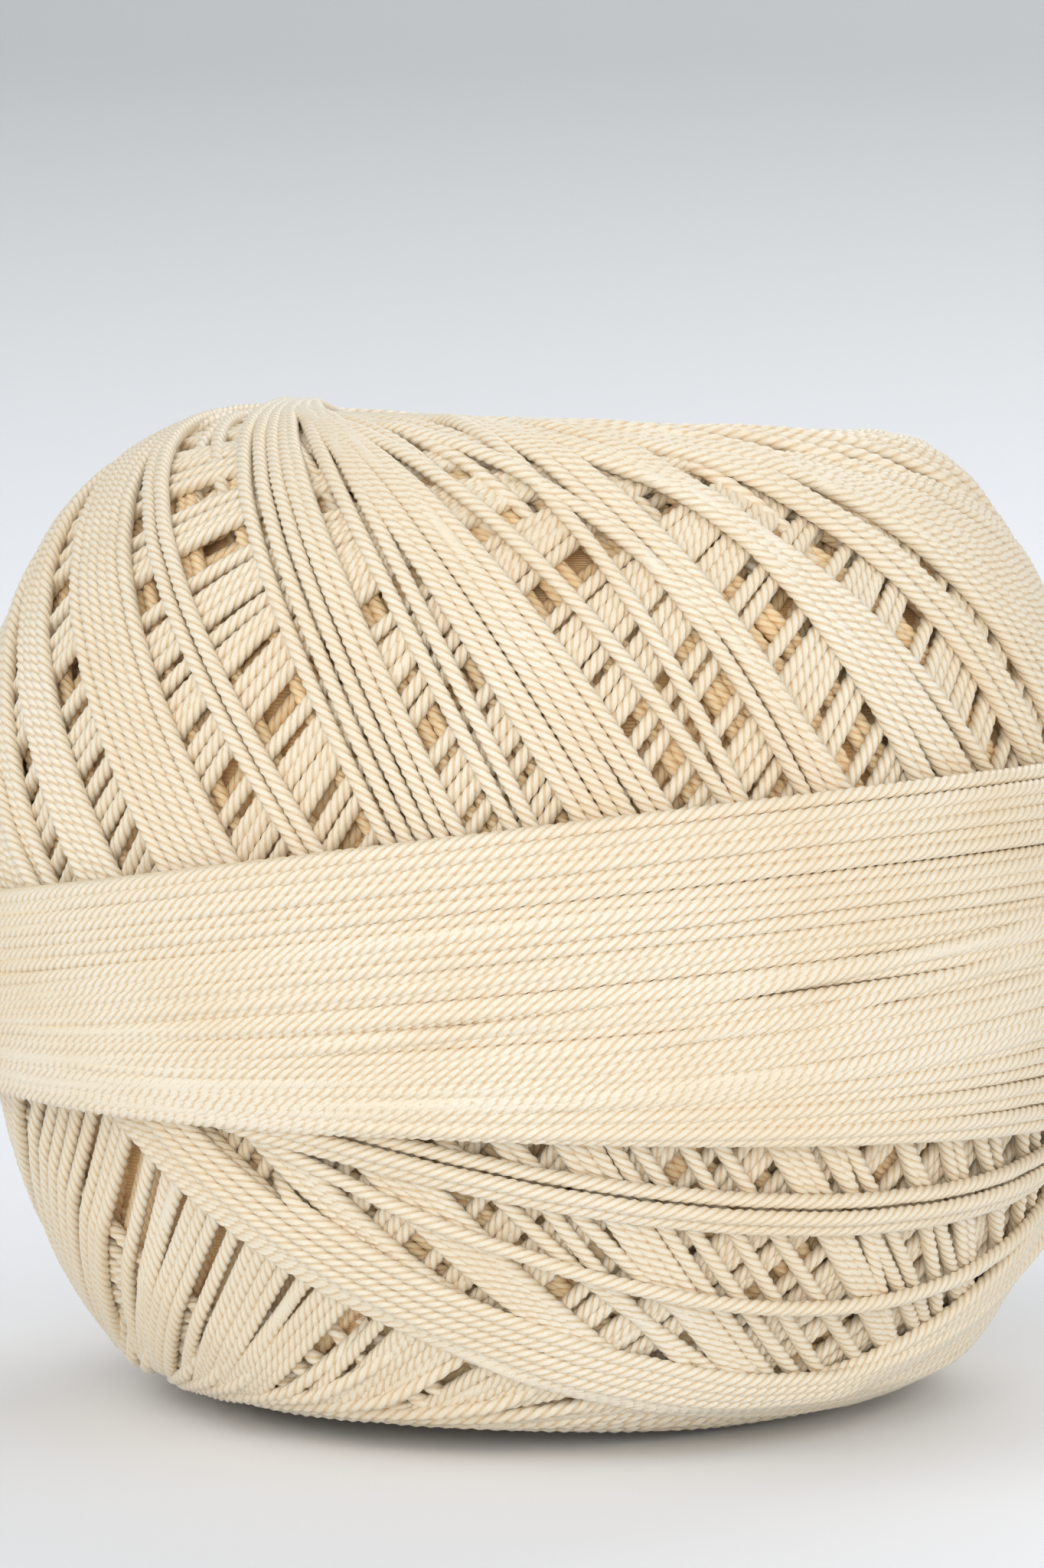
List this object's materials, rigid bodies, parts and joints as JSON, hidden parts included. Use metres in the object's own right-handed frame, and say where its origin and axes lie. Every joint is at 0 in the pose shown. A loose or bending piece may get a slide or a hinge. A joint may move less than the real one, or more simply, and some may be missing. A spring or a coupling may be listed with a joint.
{
  "type": "ball of crochet thread",
  "caption": "Machine-wound ball of crochet cotton: cross-wound thread on a short card tube, with a belly band of level turns and an open core for a spindle.",
  "frame": {"origin": "centre of the base that the ball stands on, below the middle of its bounding box", "axes": "+Z along the winding axis, up; X and Y are level and the lays repeat around Z"},
  "size_m": [0.064, 0.064, 0.0545],
  "materials": {
    "cotton_thread": "mercerised plied cotton, soft sheen",
    "core_card": "matt, spirally wound grey-brown card"
  },
  "bodies": {
    "root": {"core_tube": "core_card", "starter_winding": "cotton_thread", "inner_winding": "cotton_thread", "middle_winding": "cotton_thread", "outer_winding": "cotton_thread", "cross_lay_under": "cotton_thread", "cross_lay_middle": "cotton_thread", "cross_lay_top": "cotton_thread", "belly_band_under": "cotton_thread", "belly_bundle_upper": "cotton_thread", "belly_bundle_lower": "cotton_thread", "stray_bundle": "cotton_thread", "stray_turn": "cotton_thread", "base_bundle": "cotton_thread"}
  },
  "joints": []
}
